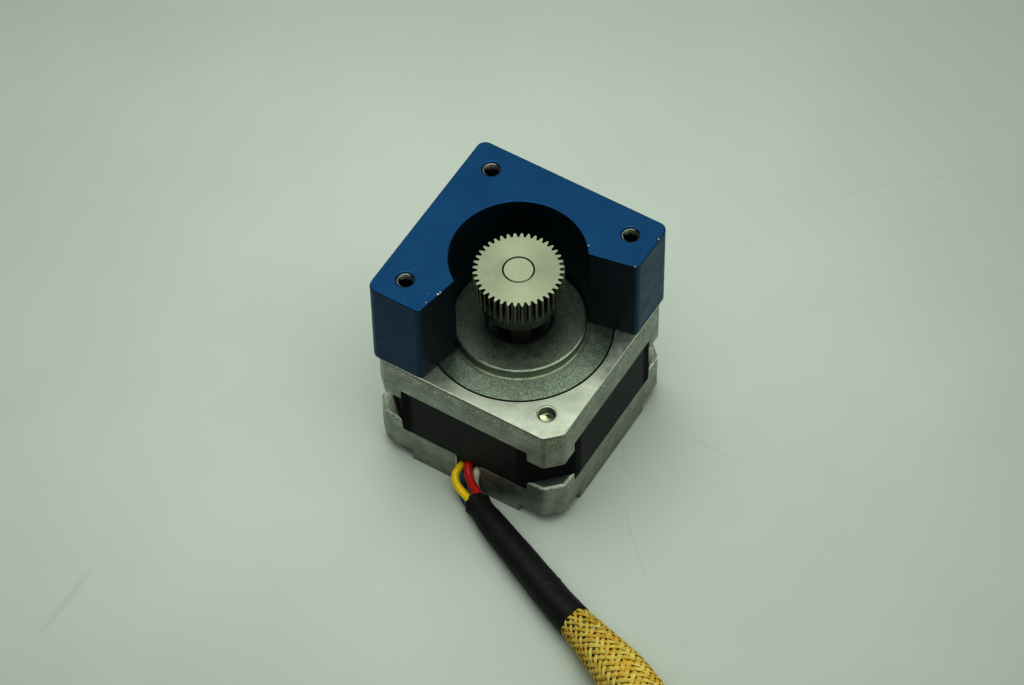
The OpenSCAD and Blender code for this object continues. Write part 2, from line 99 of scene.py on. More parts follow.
def make_camera():
    """The view from above the open corner, on a long lens."""
    back = direction(AZIMUTH, ELEVATION)
    data = bpy.data.cameras.new("camera")
    data.lens = LENS
    data.sensor_width = SENSOR
    data.sensor_fit = "HORIZONTAL"
    data.clip_start, data.clip_end = 0.01, 20
    camera = bpy.data.objects.new("camera", data)
    level = (-back).to_track_quat("-Z", "Y").to_matrix().to_4x4()
    place = Matrix.Translation(Vector(TARGET_M) + back * AWAY_M)
    camera.matrix_world = place @ level @ Matrix.Rotation(math.radians(ROLL), 4, "Z")
    bpy.context.scene.collection.objects.link(camera)
    bpy.context.scene.camera = camera


make_camera()


# ---- Lines and lofts ----


def spline(points, step):
    """A smooth line (centripetal Catmull-Rom) through the points, with its own points step apart."""
    p = np.array(points, float)
    p = np.vstack([2 * p[0] - p[1], p, 2 * p[-1] - p[-2]])
    out = []
    for i in range(1, len(p) - 2):
        a, b, c, d = p[i - 1 : i + 3]
        k = np.cumsum([0, *(np.linalg.norm(v) ** 0.5 for v in (b - a, c - b, d - c))])
        t = np.linspace(k[1], k[2], 24, endpoint=False)[:, None]
        ab = (k[1] - t) / (k[1] - k[0]) * a + (t - k[0]) / (k[1] - k[0]) * b
        bc = (k[2] - t) / (k[2] - k[1]) * b + (t - k[1]) / (k[2] - k[1]) * c
        cd = (k[3] - t) / (k[3] - k[2]) * c + (t - k[2]) / (k[3] - k[2]) * d
        abc = (k[2] - t) / (k[2] - k[0]) * ab + (t - k[0]) / (k[2] - k[0]) * bc
        bcd = (k[3] - t) / (k[3] - k[1]) * bc + (t - k[1]) / (k[3] - k[1]) * cd
        out.append((k[2] - t) / (k[2] - k[1]) * abc + (t - k[1]) / (k[2] - k[1]) * bcd)
    return spaced(np.vstack([*out, p[-2][None]]), step)


def distances(line):
    """How far along the line each of its points is."""
    return np.concatenate(
        [[0], np.cumsum(np.linalg.norm(np.diff(line, axis=0), axis=1))]
    )


def spaced(line, step):
    """The same line with points about step apart."""
    along = distances(line)
    at = np.linspace(0, along[-1], max(2, math.ceil(along[-1] / step) + 1))
    return np.stack([np.interp(at, along, line[:, k]) for k in range(3)], axis=1)


def axes_of(line):
    """Unit vectors ahead, sideways and up at each point of a line that is never upright."""
    ahead = np.gradient(line, axis=0)
    ahead /= np.linalg.norm(ahead, axis=1)[:, None]
    side = np.cross([0, 0, 1], ahead)
    side /= np.linalg.norm(side, axis=1)[:, None]
    return ahead, side, np.cross(ahead, side)


def tube_rings(line, radii, sides, shape=None):
    """Rings round a line. shape(distance, angle) scales the radius, both arrays of rings by sides."""
    _, side, up = axes_of(line)
    angle = np.linspace(0, 2 * math.pi, sides, endpoint=False)[None, :]
    r = np.broadcast_to(np.asarray(radii, float).reshape(-1, 1), (len(line), sides))
    if shape is not None:
        r = r * shape(distances(line)[:, None], angle)
    x, y = r * np.cos(angle), r * np.sin(angle)
    return (
        line[:, None]
        + x[:, :, None] * side[:, None]
        + y[:, :, None] * up[:, None]
    )


class Shape:
    """Points and faces of one piece, gathered from several lofts."""

    def __init__(self):
        self.points, self.faces, self.slots, self.uvs = [], [], [], []
        self.count = 0

    def loft(self, rings, slot=0, width=None, closed=False):
        """Walls between rings of equal size, ended by flat caps. closed joins the last ring to the
        first instead. width says how far across the ring each of its points is, for the UV map."""
        n, m, _ = rings.shape
        i = np.arange(n if closed else n - 1)[:, None]
        here, there = i * m, (i + 1) % n * m
        j = np.arange(m)[None, :]
        k = (j + 1) % m
        quads = np.stack([here + j, here + k, there + k, there + j], 2).reshape(-1, 4)
        faces = (quads + self.count).tolist()
        if not closed:
            first = list(range(self.count + m - 1, self.count - 1, -1))
            last = list(range(self.count + (n - 1) * m, self.count + n * m))
            faces += [first, last]
        self.points.append(rings.reshape(-1, 3))
        self.faces += faces
        self.slots += [slot] * len(faces)
        if width is not None:
            across = np.broadcast_to(np.asarray(width)[None, :], (n, m))
            along = np.broadcast_to(distances(rings[:, 0])[:, None], (n, m))
            self.uvs.append(np.stack([across, along], 2).reshape(-1, 2))
        self.count += n * m

    def mesh(self, name):
        mesh = bpy.data.meshes.new(name)
        points = np.vstack(self.points)
        mesh.from_pydata((points * MM).tolist(), [], self.faces)
        mesh.polygons.foreach_set("material_index", self.slots)
        if self.uvs:
            uv = np.vstack(self.uvs)
            loops = np.zeros(len(mesh.loops), np.int32)
            mesh.loops.foreach_get("vertex_index", loops)
            layer = mesh.uv_layers.new(name="along")
            layer.data.foreach_set("uv", uv[loops].astype(np.float32).ravel())
        return mesh


def place_piece(name, mesh, replaces, body="housing"):
    """Puts a mesh in the scene as a piece that rides on a body and stands for CAD nodes."""
    piece = bpy.data.objects.new(name, mesh)
    bpy.context.scene.collection.objects.link(piece)
    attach(piece, body)
    if replaces:
        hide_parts(*replaces)
    return piece


def add_piece(name, mesh, materials, replaces, body="housing", sharp=35):
    """A smooth piece, with sharp edges only where faces turn by more than sharp degrees."""
    for m in materials:
        mesh.materials.append(m)
    mesh.polygons.foreach_set("use_smooth", [True] * len(mesh.polygons))
    mesh.set_sharp_from_angle(angle=math.radians(sharp))
    return place_piece(name, mesh, replaces, body)


# ---- Materials ----


class Look:
    """Short calls for one material's nodes. Its place socket is the object's position in mm."""

    def __init__(self, name, colour, metallic=0.0, roughness=0.5, **sockets):
        self.material = bpy.data.materials.new(name)
        self.material.use_nodes = True
        self.nodes = self.material.node_tree.nodes
        self.links = self.material.node_tree.links
        self.nodes.clear()
        self.shader = self.new("BsdfPrincipled")
        out = self.new("OutputMaterial")
        self.links.new(self.shader.outputs[0], out.inputs["Surface"])
        self.set("Base Color", (*colour, 1))
        self.set("Metallic", metallic)
        self.set("Roughness", roughness)
        for key, value in sockets.items():
            self.set(key.replace("_", " "), value)
        self.place = self.vector("MULTIPLY", self.new("TexCoord").outputs["Object"], (1000,) * 3)
        self.normal = None

    def new(self, kind, **settings):
        node = self.nodes.new("ShaderNode" + kind)
        for key, value in settings.items():
            setattr(node, key, value)
        return node

    def put(self, socket, value):
        """Links a socket to another one, or gives it a plain value."""
        if isinstance(value, bpy.types.NodeSocket):
            self.links.new(value, socket)
        else:
            socket.default_value = value

    def set(self, key, value):
        self.put(self.shader.inputs[key], value)

    def vector(self, operation, a, b=(0, 0, 0)):
        node = self.new("VectorMath", operation=operation)
        self.put(node.inputs[0], a)
        self.put(node.inputs[1], b)
        single = operation in ("LENGTH", "DISTANCE", "DOT_PRODUCT")
        return node.outputs["Value" if single else "Vector"]

    def math(self, operation, a, b=0.0):
        node = self.new("Math", operation=operation)
        self.put(node.inputs[0], a)
        self.put(node.inputs[1], b)
        return node.outputs[0]

    def times(self, a, b):
        """The product of two values."""
        return self.math("MULTIPLY", a, b)

    def span(self, value, low, high, to_low=0.0, to_high=1.0, smooth=False):
        """value from low to high, mapped to to_low to to_high and held there."""
        kind = "SMOOTHSTEP" if smooth else "LINEAR"
        node = self.new("MapRange", clamp=True, interpolation_type=kind)
        for i, v in enumerate((value, low, high, to_low, to_high)):
            self.put(node.inputs[i], v)
        return node.outputs[0]

    def mix(self, share, a, b):
        """Colour a where share is 0, b where it is 1."""
        node = self.new("Mix", data_type="RGBA")
        self.put(node.inputs[0], share)
        self.put(node.inputs[6], (*a, 1) if isinstance(a, tuple) else a)
        self.put(node.inputs[7], (*b, 1) if isinstance(b, tuple) else b)
        return node.outputs[2]

    def noise(self, per_mm, detail=3.0, stretch=(1, 1, 1), rough=0.55, offset=0.0):
        """Random patches, about 0.5 on average. offset gives each use its own pattern."""
        at = self.vector("MULTIPLY", self.place, stretch)
        if offset:
            at = self.vector("ADD", at, (offset, offset, offset))
        node = self.new("TexNoise")
        self.put(node.inputs["Vector"], at)
        self.put(node.inputs["Scale"], per_mm)
        self.put(node.inputs["Detail"], detail)
        self.put(node.inputs["Roughness"], rough)
        return node.outputs["Fac"]

    def bump(self, height, depth):
        """Adds relief depth mm deep to what is there."""
        node = self.new("Bump")
        self.put(node.inputs["Strength"], 1.0)
        self.put(node.inputs["Distance"], depth * MM)
        self.put(node.inputs["Height"], height)
        if self.normal is not None:
            self.links.new(self.normal, node.inputs["Normal"])
        self.normal = node.outputs[0]
        self.set("Normal", self.normal)

    def base(self):
        """The socket that the base colour comes from so far."""
        return self.shader.inputs["Base Color"].links[0].from_socket

    def height(self):
        """How high a place is in mm."""
        split = self.new("SeparateXYZ")
        self.links.new(self.place, split.inputs[0])
        return split.outputs["Z"]

    def line_at(self, value, level, width, strength):
        """strength where value is level, down to 0 at width away."""
        away = self.math("ABSOLUTE", self.math("SUBTRACT", value, level))
        return self.span(away, width * 0.4, width, strength, 0)

    def radius(self):
        """Distance from the shaft's axis."""
        return self.vector("LENGTH", self.vector("MULTIPLY", self.place, (1, 1, 0)))

    def scratches(self, stretch, per_mm, share, offset=0.0):
        """1 on thin lines along the axis that stretch makes long, 0 elsewhere."""
        n = self.noise(per_mm, 2, stretch, 0.6, offset)
        return self.span(n, 1 - share, 1 - share + 0.04)


def metal(name, dark, light, rough, grain=3.0, depth=0.01, tone=0.2):
    """Metal whose tone wanders between two colours, with fine relief and uneven gloss."""
    look = Look(name, light, 1.0, rough)
    patch = look.noise(tone, 4)
    fine = look.noise(grain, 2)
    share = look.span(look.math("ADD", look.times(fine, 0.5), patch), 0.45, 1.05)
    look.set("Base Color", look.mix(share, dark, light))
    gloss = look.noise(tone * 3, 3, offset=9)
    look.set("Roughness", look.span(gloss, 0.3, 0.7, rough - 0.06, rough + 0.08))
    look.bump(fine, depth)
    return look


# Heights where the bells' edges are rubbed bright, how wide the line is and how bright
EDGE_LINES = (
    (FACE - 0.06, 0.08, 0.6), (REAR_LUG_END - 0.25, 0.2, 0.9), (FRONT_LUG_END + 0.2, 0.15, 0.12),
)


def cast_aluminium():
    """Die-cast walls: even grain, small pits, rubbed marks and dirt, with painted shade in the face's
    groove, in a line under the top edge and towards the foot.
    """
    look = metal("cast_aluminium", (0.27, 0.29, 0.25), (0.5, 0.53, 0.47), 0.5, 3.2, 0.02, 0.35)
    height = look.height()
    marks = look.scratches((0.25, 0.25, 2.2), 1.3, 0.34)
    colour = look.mix(look.times(marks, 0.45), look.base(), (0.68, 0.7, 0.64))
    dirt = look.span(look.noise(1.1, 4, offset=31), 0.62, 0.72, 0, 0.45)
    colour = look.mix(dirt, colour, (0.12, 0.13, 0.11))
    # Painted shade: the walls are painted darker towards the foot, near the table.
    foot = look.span(height, 0.5, 7, 0.3, 0)
    colour = look.mix(foot, colour, (0.1, 0.11, 0.095))
    band = look.times(look.span(height, FACE - 3, FACE - 1.4), look.span(height, FACE - 0.1, FACE - 0.5))
    fleck = look.span(look.noise(3.4, 3, (1, 1, 1.5), offset=61), 0.57, 0.62)
    nick = look.span(look.noise(2.8, 3, (1, 1, 1.8), offset=83), 0.57, 0.62)
    colour = look.mix(look.times(band, look.times(fleck, 0.8)), colour, (0.86, 0.86, 0.76))
    colour = look.mix(look.times(band, look.times(nick, 0.7)), colour, (0.13, 0.11, 0.07))
    # Painted shadow: a dark line just under the front bell's top edge.
    colour = look.mix(look.line_at(height, FACE - 0.38, 0.16, 0.55), colour, (0.1, 0.105, 0.09))
    uneven = look.span(look.noise(1.4, 3, offset=47), 0.3, 0.6)
    for level, width, strength in EDGE_LINES:
        line = look.times(look.line_at(height, level, width, strength), uneven)
        colour = look.mix(line, colour, (0.92, 0.94, 0.86))
    # Painted shade: a near-black line along the face's groove.
    near_top = look.span(height, FACE - 0.4, FACE - 0.3)
    groove = look.times(look.line_at(look.radius(), GROOVE_R, 0.4, 0.95), near_top)
    look.set("Base Color", look.mix(groove, colour, (0.012, 0.013, 0.012)))
    look.bump(look.noise(0.9, 3, offset=5), 0.05)
    return look.material


RING_PITCH = 0.16


def turned(name, dark, light, rough, ring_depth, grain_depth, grain=4.0):
    """A face turned on a lathe: fine rings round the shaft's axis."""
    look = metal(name, dark, light, rough, grain, grain_depth, 0.3)
    rings = look.math("SINE", look.times(look.radius(), 2 * math.pi / RING_PITCH))
    look.bump(rings, ring_depth)
    return look


def brushed_round(look, amount):
    """Marks left by the lathe spread a highlight across the rings, away from the shaft's axis."""
    look.set("Anisotropic", amount)
    look.set("Anisotropic Rotation", 0.25)
    around = look.new("Tangent", direction_type="RADIAL", axis="Z")
    look.links.new(around.outputs[0], look.shader.inputs["Tangent"])


def speckled(name, dark, light):
    """A turned face with a sharp grain, rubbed bright along the pilot's two edges."""
    look = turned(name, dark, light, 0.4, 0.001, 0.012, 5.0)
    brushed_round(look, 0.35)
    fine = look.noise(4.6, 2, offset=2)
    coarse = look.noise(0.5, 3, offset=6)
    share = look.math("ADD", look.times(coarse, 0.17), look.times(fine, 0.8))
    colour = look.mix(look.span(share, 0.32, 0.65), dark, light)
    height, radius = look.height(), look.radius()
    # Painted light: the pilot's upright side is painted lighter than its top, which keeps the copy's
    # painted shade.
    below_top = look.span(height, PILOT_TOP - 0.1, PILOT_TOP - 0.2)
    wall = look.times(below_top, look.span(height, FACE + 0.05, FACE + 0.1))
    colour = look.mix(look.times(wall, 0.3), colour, (0.4, 0.42, 0.35))
    at_top = look.span(height, PILOT_TOP - 0.25, PILOT_TOP - 0.12)
    rim = look.times(look.line_at(radius, PILOT_R, 0.26, 1.0), at_top)
    outside = look.span(radius, PILOT_R - 0.1, PILOT_R - 0.05)
    foot = look.times(look.line_at(height, FACE + 0.1, 0.17, 0.75), outside)
    foot = look.times(foot, look.span(radius, PILOT_R + 0.3, PILOT_R + 0.2))
    uneven = look.span(look.noise(0.9, 3), 0.3, 0.55, 0.45, 1)
    worn = look.times(look.math("MAXIMUM", rim, foot), uneven)
    look.set("Base Color", look.mix(worn, colour, (0.9, 0.9, 0.78)))
    return look.material


def machined_face():
    """The outer part of the front face: turned, then scratched, and marked by a screw's head."""
    look = turned("machined_face", (0.45, 0.46, 0.405), (0.6, 0.61, 0.54), 0.38, 0.0012, 0.007)
    nick = look.scratches((2.4, 0.2, 1), 1.4, 0.34, 3)
    nick = look.math("MAXIMUM", nick, look.scratches((0.22, 2.1, 1), 1.3, 0.34, 17))
    shine = look.scratches((0.15, 1.9, 1), 1.5, 0.36, 70)
    spot = look.span(look.noise(2.2, 3, offset=40), 0.68, 0.76)
    hole = look.vector("DISTANCE", look.place, (HOLE_AT, -HOLE_AT, FACE))
    base = look.mix(look.times(nick, 0.4), look.base(), (0.26, 0.27, 0.23))
    base = look.mix(look.times(shine, 0.4), base, (0.9, 0.9, 0.82))
    base = look.mix(look.times(spot, 0.4), base, (0.3, 0.3, 0.25))
    base = look.mix(look.line_at(hole, 1.44, 0.2, 0.5), base, (0.34, 0.35, 0.3))
    base = look.mix(look.line_at(hole, 1.62, 0.1, 0.7), base, (0.1, 0.1, 0.08))
    look.set("Base Color", base)
    return look.material


# Places on the block's top where the blue is worn through: x, y and the spot's radius
CHIPS = (
    (-6.9, -12.3, 0.24), (-7.0, -12.9, 0.2), (-8.4, -13.6, 0.1), (-7.8, -15.2, 0.1), (-1.8, 17.45, 0.2),
    (-2.9, 17.4, 0.12), (8.4, 7.6, 0.1), (16.9, 7.7, 0.16), (-17.4, -16.2, 0.14), (17.4, 14.5, 0.12),
)


def anodised(name, deep, pale, rough):
    """Dyed anodising over fine milled aluminium, worn through in a few places."""
    look = Look(name, pale, 0.9, rough, Coat_Weight=0.15, Coat_Roughness=0.35)
    grain = look.noise(6.5, 2)
    patch = look.noise(0.15, 4, offset=3)
    share = look.math("ADD", look.times(grain, 1.3), look.times(patch, 0.4))
    colour = look.mix(look.span(share, 0.6, 1.15), deep, pale)
    chips = None
    for x, y, size in CHIPS:
        far = look.vector("DISTANCE", look.place, (x, y, BLOCK_TOP))
        edge = look.math("ADD", far, look.times(look.noise(3.0, 2, offset=x), 0.7))
        spot = look.span(edge, size + 0.35, size + 0.25)
        chips = spot if chips is None else look.math("MAXIMUM", chips, spot)
    specks = look.span(look.noise(2.6, 2, offset=90), 0.7, 0.76, 0, 0.3)
    colour = look.mix(specks, colour, (0.2, 0.32, 0.42))
    look.set("Base Color", look.mix(chips, colour, (0.62, 0.64, 0.6)))
    gloss = look.noise(0.5, 3, offset=8)
    look.set("Roughness", look.span(gloss, 0.3, 0.7, rough - 0.04, rough + 0.08))
    look.bump(grain, 0.008)
    return look.material


SHEET_PITCH = 0.5


def laminations():
    """The stack's black sheets, with painted shade making its cut corners darker still."""
    look = Look("lamination_black", (0.012, 0.013, 0.012), 0.0, 0.5, Specular_IOR_Level=0.32)
    sheets = look.math("SINE", look.times(look.height(), 2 * math.pi / SHEET_PITCH))
    patch = look.noise(0.3, 4)
    colour = look.mix(look.span(patch, 0.3, 0.7), (0.007, 0.0075, 0.007), (0.015, 0.0165, 0.015))
    # Painted shade: the cut corners are painted near black, and made rougher.
    size = look.vector("ABSOLUTE", look.place)
    corner = look.span(look.vector("DOT_PRODUCT", size, (1, 1, 0)), 27.2, 28.2)
    look.set("Base Color", look.mix(corner, colour, (0.002, 0.002, 0.002)))
    gloss = look.span(look.noise(2, 3, offset=4), 0.3, 0.7, 0.45, 0.6)
    look.set("Roughness", look.math("ADD", gloss, look.times(corner, 0.35)))
    look.bump(sheets, 0.004)
    look.bump(look.noise(5, 2), 0.004)
    return look.material


def plastic(name, colour, rough, tone=0.12, grain=4.0, depth=0.004, **sockets):
    """Plastic or rubber whose tone and gloss wander a little, with a fine grain."""
    look = Look(name, colour, 0.0, rough, **sockets)
    dark = tuple(c * (1 - tone) for c in colour)
    light = tuple(min(1, c * (1 + tone)) for c in colour)
    look.set("Base Color", look.mix(look.span(look.noise(0.6, 4), 0.3, 0.7), dark, light))
    gloss = look.noise(1.5, 3, offset=5)
    look.set("Roughness", look.span(gloss, 0.3, 0.7, rough - 0.07, rough + 0.09))
    look.bump(look.noise(grain, 2), depth)
    return look.material


FILAMENTS = 4


def yarn():
    """Braided polyester: each yarn is several fine filaments side by side."""
    look = Look("braid_yellow", (0.86, 0.7, 0.25), 0.0, 0.62, Specular_IOR_Level=0.35)
    across = look.new("SeparateXYZ")
    look.links.new(look.new("UVMap", uv_map="along").outputs[0], across.inputs[0])
    phase = look.times(across.outputs["X"], 2 * math.pi * FILAMENTS)
    ridge = look.times(look.math("ADD", look.math("COSINE", phase), 1.0), 0.5)
    patch = look.noise(0.9, 3)
    colour = look.mix(look.span(patch, 0.35, 0.65), (0.72, 0.46, 0.05), (0.88, 0.75, 0.24))
    shade = look.times(look.math("SUBTRACT", 1.0, ridge), 0.3)
    look.set("Base Color", look.mix(shade, colour, (0.42, 0.2, 0.02)))
    look.bump(ridge, 0.06)
    look.bump(look.noise(9, 2), 0.01)
    return look.material


def painted_shade_below(look, high, low, dark):
    """Painted shade: the look's colour above high, going to dark at low."""
    look.set("Base Color", look.mix(look.span(look.height(), low, high), dark, look.base()))
    return look.material


def shaft_steel():
    """Ground steel, bright at the end and darkened by painted shade where it goes into the motor."""
    look = turned("ground_steel", (0.35, 0.355, 0.275), (0.42, 0.425, 0.335), 0.3, 0.001, 0.003)
    # Painted shade on the shaft below the pinion's hub.
    return painted_shade_below(look, HUB_END + 2.6, HUB_END + 0.6, (0.014, 0.015, 0.012))


def coil_wire():
    """Varnished copper wire, laid in turns."""
    look = Look("magnet_wire", (0.5, 0.17, 0.05), 0.9, 0.32)
    turns = look.math("SINE", look.times(look.radius(), 2 * math.pi / 0.2))
    patch = look.span(look.noise(0.8, 3), 0.3, 0.7)
    look.set("Base Color", look.mix(patch, (0.36, 0.11, 0.03), (0.6, 0.24, 0.08)))
    look.bump(turns, 0.03)
    return look.material


def fanned(name, dark, light):
    """A turned end face, whose rings throw light out in soft fans."""
    look = turned(name, dark, light, 0.32, 0.0008, 0.0003)
    brushed_round(look, 0.6)
    return look.material


# Each plain metal's dark and light colour and roughness, then its grain and relief if they aren't usual
METALS = {
    "rotor_steel": ((0.2, 0.2, 0.2), (0.36, 0.36, 0.35), 0.42),
    "magnet": ((0.16, 0.16, 0.17), (0.26, 0.26, 0.27), 0.45),
    "bearing_steel": ((0.5, 0.5, 0.48), (0.66, 0.66, 0.63), 0.18, 5, 0.001),
    "cage_steel": ((0.36, 0.33, 0.26), (0.52, 0.48, 0.4), 0.35),
    "shield_steel": ((0.25, 0.25, 0.24), (0.4, 0.4, 0.38), 0.35),
    "spring_steel": ((0.22, 0.22, 0.24), (0.36, 0.36, 0.38), 0.35),
    "screw_steel": ((0.3, 0.31, 0.22), (0.5, 0.51, 0.38), 0.33, 4, 0.006),
    # The pinion's steel is painted darker than the shaft's: painted shade on the hub and the tooth
    # flanks.
    "pinion_steel": ((0.07, 0.072, 0.058), (0.14, 0.145, 0.115), 0.34, 4, 0.004),
    "contact_metal": ((0.55, 0.38, 0.14), (0.75, 0.55, 0.24), 0.28),
    "worn_screw": ((0.26, 0.27, 0.19), (0.56, 0.58, 0.43), 0.3, 4, 0.01),
    # The tooth tips: the pinion's steel with less of that painted shade.
    "tooth_tip": ((0.12, 0.123, 0.1), (0.23, 0.237, 0.19), 0.32, 4, 0.004),
}

# Each plain plastic's colour and roughness, then how far its tone wanders if it isn't usual
PLASTICS = {
    "bobbin_plastic": ((0.7, 0.64, 0.5), 0.5),
    "grommet_rubber": ((0.012, 0.012, 0.012), 0.6),
    "wire_yellow": ((0.86, 0.62, 0.004), 0.34, 0.06),
    "wire_red": ((0.56, 0.012, 0.008), 0.34, 0.1),
    "wire_white": ((0.6, 0.54, 0.45), 0.36, 0.08),
    "wire_blue": ((0.02, 0.12, 0.2), 0.36, 0.1),
    "plug_plastic": ((0.014, 0.014, 0.015), 0.42, 0.2),
}

# The blue's deep and pale colour and roughness on each face of the block: blue_anodised is the blue
# itself, the top and the right side are lighter copies with painted light, and the opening and the bore
# darker copies with painted shade
BLUES = {
    "blue_anodised": ((0.004, 0.037, 0.088), (0.009, 0.064, 0.138), 0.38),
    "blue_top_painted_light": ((0.006, 0.058, 0.14), (0.0125, 0.094, 0.228), 0.36),
    "blue_inside_painted_shade": ((0.0045, 0.016, 0.03), (0.009, 0.032, 0.056), 0.46),
    "blue_bore_painted_shade": ((0.008, 0.029, 0.052), (0.016, 0.058, 0.1), 0.46),
    "blue_side_painted_light": ((0.0046, 0.052, 0.105), (0.0102, 0.09, 0.165), 0.38),
}

shrink = plastic("heat_shrink_black", (0.013,) * 3, 0.5, 0.2, 2.5, 0.01, Specular_IOR_Level=0.3)
thread = metal("bare_thread", (0.2, 0.21, 0.18), (0.5, 0.52, 0.46), 0.28, 4, 0.004)
LOOKS = {
    **{name: metal(name, *values).material for name, values in METALS.items()},
    **{name: plastic(name, *values) for name, values in PLASTICS.items()},
    **{name: anodised(name, *values) for name, values in BLUES.items()},
    "cast_aluminium": cast_aluminium(),
    "machined_face": machined_face(),
    "ring_face": speckled("ring_face", (0.165, 0.195, 0.16), (0.42, 0.475, 0.4)),
    # The pilot's faces get a darker copy of the ring face's turned finish: painted shade from the pinion
    # above and the block round it.
    "shaded_pilot_face": speckled("shaded_pilot_face", (0.1, 0.115, 0.097), (0.32, 0.36, 0.3)),
    "pinion_face": fanned("pinion_face", (0.33, 0.338, 0.262), (0.37, 0.378, 0.295)),
    # Painted shade: the threads go dark deeper down in their holes.
    "bare_thread": painted_shade_below(thread, BLOCK_TOP - 0.5, BLOCK_TOP - 1.9, (0.008, 0.01, 0.012)),
    "ground_steel": shaft_steel(),
    "lamination_black": laminations(),
    "magnet_wire": coil_wire(),
    "heat_shrink_black": shrink,
    "braid_yellow": yarn(),
}


def looks_of(*names):
    return [LOOKS[name] for name in names]


for part in frame["record"]["subparts"]:
    node = frame["nodes"][part["node"]]
    node.data.materials.clear()
    node.data.materials.append(LOOKS[part["material_slot"]])


# ---- The lead ----

# The lead's way-points in order, and the radii of its two shrunk sleeves at theirs
SHRINK_ROUTE = [
    (4.3, -21, 2.1), (6.5, -22.2, 2.3), (11, -24.4, 2.5), (16, -26.7, 2.7),
    (21, -29, 2.8), (26, -31.3, 2.9), (30, -32.9, 3),
]
SHRINK_RADII = [2, 2.2, 2.4, 2.6, 2.7, 2.8, 2.9]
BRAID_ROUTE = [
    (30, -32.9, 3), (34, -34.6, 3.4), (38, -36.4, 3.9), (42.5, -38.4, 4.2),
    (50.5, -42, 4.3), (59, -45.8, 4.3), (70, -53.3, 4.3), (78, -63.8, 4.3),
    (82.5, -76.8, 4.3), (82, -90.3, 4.3), (76.5, -103.8, 4.3), (67, -113.8, 4.3),
    (54.5, -120.8, 4.3), (41, -122.3, 4.3), (28.5, -119.8, 4.3), (18, -113.3, 4.3),
    (11, -104.8, 4.3), (8, -93.8, 4.3), (10, -82.3, 4.3), (16.5, -72.3, 4.3),
    (26, -66.3, 4.3), (36.5, -64.3, 4.3),
]
END_ROUTE = [(36.5, -64.3, 4.3), (40.5, -64.2, 3.6), (44.5, -64.2, 2.6)]
END_RADII = [4.25, 3.4, 2.2]
BRAID_D = 8.5
WIRE_D = 1.4
WIRES = {
    "wire_yellow": [
        (-0.9, -15.5, 4.4), (-0.9, -17.3, 4.4), (-0.9, -19.1, 4), (-0.1, -20.1, 3.4),
        (1.3, -20.7, 2.9), (2.6, -21.2, 2.8), (3.9, -21.8, 2.8),
    ],
    "wire_red": [
        (0.7, -15.5, 6.1), (0.7, -17.3, 6.1), (1.3, -18.6, 5.7), (2.2, -19.4, 4.8),
        (3.4, -19.8, 3.8), (4.5, -20.3, 2.9),
    ],
    "wire_white": [
        (2.15, -15.5, 5.1), (2.15, -17.3, 5.1), (2.2, -17.9, 4.2), (2.4, -18.5, 3.1),
        (3, -18.9, 2.1), (4, -19.4, 1.4), (5.2, -20, 1.1),
    ],
    "wire_blue": [
        (0.6, -15.5, 4.1), (0.6, -17.3, 4.1), (0.6, -18.4, 3.7), (0.5, -19.1, 2),
        (0.9, -19.9, 1.1), (2.1, -20.9, 1), (3.9, -21.7, 1.2),
    ],
}


def wave(distance, angle, parts):
    """1 plus a few gentle waves: (height, per mm along, lobes round, phase)."""
    total = 1.0
    for height, along, lobes, phase in parts:
        total = total + height * np.sin(along * distance + lobes * angle + phase)
    return total


def radii_along(route, radii, line):
    """The radii given at a route's points, at each point of its smooth line."""
    along = distances(line)
    at = [along[np.linalg.norm(line - p, axis=1).argmin()] for p in np.array(route, float)]
    return np.interp(along, at, radii)


def build_wires():
    """The four wires from the grommet to where the heat shrink takes them in."""
    made = []
    for name, route in WIRES.items():
        line = spline(route, 0.25)
        rings = tube_rings(line, WIRE_D / 2, 20, lambda s, a: wave(s, a, [(0.012, 1.7, 1, 0.4)]))
        shape = Shape()
        shape.loft(rings)
        made.append(add_piece(name + "_piece", shape.mesh(name), looks_of(name), [name]))
    return made


SHRINK_WALL = 0.32
CREASE_AT = 20.3


def add_shrink(name, outer, inner):
    """A sleeve of heat shrink between two skins that meet at both ends."""
    shape = Shape()
    shape.loft(np.concatenate([outer, inner[::-1]]), closed=True)
    slot = "heat_shrink_black"
    return add_piece(name + "_piece", shape.mesh(name), looks_of(slot), [name], sharp=50)


def build_heat_shrink():
    """A shrunk tube, thick at its start, with the wires' lines showing faintly through."""
    sides = 64
    line = spline(SHRINK_ROUTE, 0.3)
    along = distances(line)
    thick_start = 0.22 * np.exp(-((along / 0.8) ** 2))
    waist = 0.16 * np.exp(-(((along - 2.4) / 1.1) ** 2))
    radii = radii_along(SHRINK_ROUTE, SHRINK_RADII, line) + thick_start - waist
    ripple = [
        (0.010, 0.22, 4, 0.5), (0.006, 0.9, 2, 1.0), (0.004, 1.9, 3, 2.0), (0.004, 0.5, 7, 0.3),
    ]

    def skin(s, a):
        crease = np.exp(-(((s - CREASE_AT - 0.9 * np.sin(a + 0.4)) / 0.3) ** 2))
        return wave(s, a, ripple) + 0.034 * crease

    outer = tube_rings(line, radii, sides, skin)
    inner = tube_rings(line, radii - SHRINK_WALL, sides, lambda s, a: wave(s, a, ripple))
    turn = np.linspace(0, 2 * math.pi, sides, endpoint=False)
    ragged = 0.35 * np.sin(2 * turn + 0.8) + 0.1 * np.sin(9 * turn) + 0.08 * np.sin(17 * turn + 1)
    ahead = axes_of(line)[0]
    for rings in (outer, inner):
        rings[0] += ragged[:, None] * ahead[0]
        rings[-1] += 0.5 * ragged[::-1][:, None] * ahead[-1]
    return add_shrink("heat_shrink", outer, inner)


